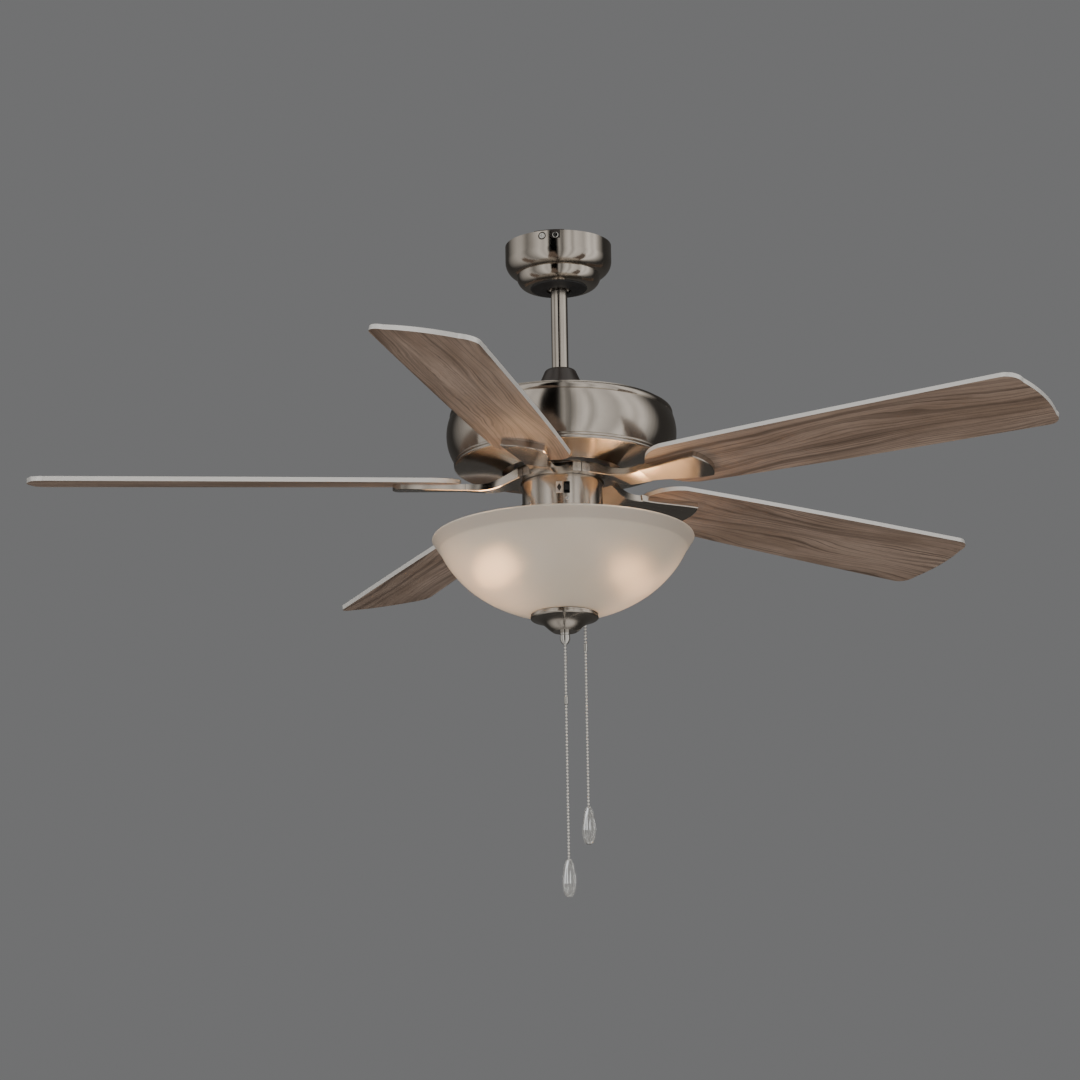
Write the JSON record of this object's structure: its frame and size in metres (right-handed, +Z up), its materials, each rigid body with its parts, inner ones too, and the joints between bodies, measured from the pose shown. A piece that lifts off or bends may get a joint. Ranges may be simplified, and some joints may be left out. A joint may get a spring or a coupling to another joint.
{
  "type": "ceiling fan with light",
  "caption": "Ceiling fan on a short downrod with wood-grain blades, brushed nickel motor housing, frosted glass bowl light and pull chains.",
  "frame": {"origin": "centre of the hanger bracket's outlet box slots, on the ceiling plane", "axes": "+Z up out of the bracket's ceiling face; -Y is the side of the reverse switch"},
  "size_m": [1.2507, 1.2805, 0.835],
  "materials": {
    "brushed_nickel": "brushed nickel plate, satin",
    "nickel_hardware": "bright nickel",
    "zinc_steel": "zinc-plated steel",
    "hanger_ball_zinc": "die cast, satin",
    "cast_aluminium": "die cast, matte",
    "lamination_steel": "stacked laminations, matte",
    "dark_bronze": "dark bronze paint, semi-gloss",
    "black_plastic": "moulded, matte",
    "socket_porcelain": "glazed porcelain",
    "blade_wood": "grey-brown oak grain laminate, satin",
    "frosted_glass": "frosted, cream white, satin",
    "bulb_glass": "soft white",
    "clear_acrylic": "clear moulded acrylic, gloss",
    "copper": "enamelled copper wire",
    "rubber": "matte"
  },
  "bodies": {
    "mount": {"hanger_bracket": "dark_bronze", "canopy": "brushed_nickel", "canopy_screws": "nickel_hardware", "canopy_cover": "black_plastic"},
    "ball_ring": {"ball_liner": "black_plastic"},
    "drop": {"hanger_ball": "hanger_ball_zinc", "ball_pin": "zinc_steel", "downrod": "brushed_nickel", "wire_harness": "rubber", "coupling": "zinc_steel", "clevis_pin": "zinc_steel", "yoke_cover": "dark_bronze", "motor_housing": "brushed_nickel", "housing_pan": "brushed_nickel", "housing_screws": "zinc_steel", "motor_shaft": "zinc_steel", "stator_core": "lamination_steel", "stator_windings": "copper", "switch_housing": "brushed_nickel", "switch_screws": "nickel_hardware", "reverse_switch": "black_plastic", "capacitor": "black_plastic", "hex_nuts": "zinc_steel", "light_kit_plate": "zinc_steel", "fan_switch": "black_plastic", "light_switch": "black_plastic", "lamp_socket_1": "socket_porcelain", "lamp_socket_2": "socket_porcelain", "lamp_base_1": "cast_aluminium", "lamp_base_2": "cast_aluminium", "bulb_1": "bulb_glass", "bulb_2": "bulb_glass", "center_rod": "zinc_steel", "glass_bowl": "frosted_glass", "bowl_washer": "rubber", "finial_cap": "brushed_nickel", "finial_knob": "nickel_hardware"},
    "rotor": {"rotor_upper_cover": "cast_aluminium", "rotor_lower_cover": "cast_aluminium", "rotor_cage": "lamination_steel", "bearings": "zinc_steel", "blade_arm_1": "brushed_nickel", "blade_arm_2": "brushed_nickel", "blade_arm_3": "brushed_nickel", "blade_arm_4": "brushed_nickel", "blade_arm_5": "brushed_nickel", "arm_screws": "zinc_steel", "blade_1": "blade_wood", "blade_2": "blade_wood", "blade_3": "blade_wood", "blade_4": "blade_wood", "blade_5": "blade_wood", "blade_screws": "zinc_steel"},
    "reverse_knob": {"reverse_knob": "black_plastic"},
    "light_pull": {"light_chain": "nickel_hardware", "light_chain_coupling": "nickel_hardware", "light_pendant": "clear_acrylic"},
    "fan_pull": {"fan_chain": "nickel_hardware", "fan_chain_coupling": "nickel_hardware", "fan_pendant": "clear_acrylic"}
  },
  "joints": [
    {"name": "tilt_x", "type": "hinge", "parent": "mount", "child": "ball_ring", "pos_m": [0, 0, -0.033], "axis": [1, 0, 0], "range_deg": [-4, 4]},
    {"name": "tilt_y", "type": "hinge", "parent": "ball_ring", "child": "drop", "pos_m": [0, 0, -0.033], "axis": [0, 1, 0], "range_deg": [-4, 4]},
    {"name": "fan_spin", "type": "hinge", "parent": "drop", "child": "rotor", "pos_m": [0, 0, -0.312], "axis": [0, 0, 1], "continuous": true},
    {"name": "reverse_slide", "type": "slide", "parent": "drop", "child": "reverse_knob", "axis": [0, 0, 1], "range_m": [-0.003, 0.003]},
    {"name": "light_pull_slide", "type": "slide", "parent": "drop", "child": "light_pull", "axis": [0, 0, -1], "range_m": [0, 0.01], "stiffness_N_per_m": 500},
    {"name": "fan_pull_slide", "type": "slide", "parent": "drop", "child": "fan_pull", "axis": [0, 0, -1], "range_m": [0, 0.01], "stiffness_N_per_m": 500}
  ]
}
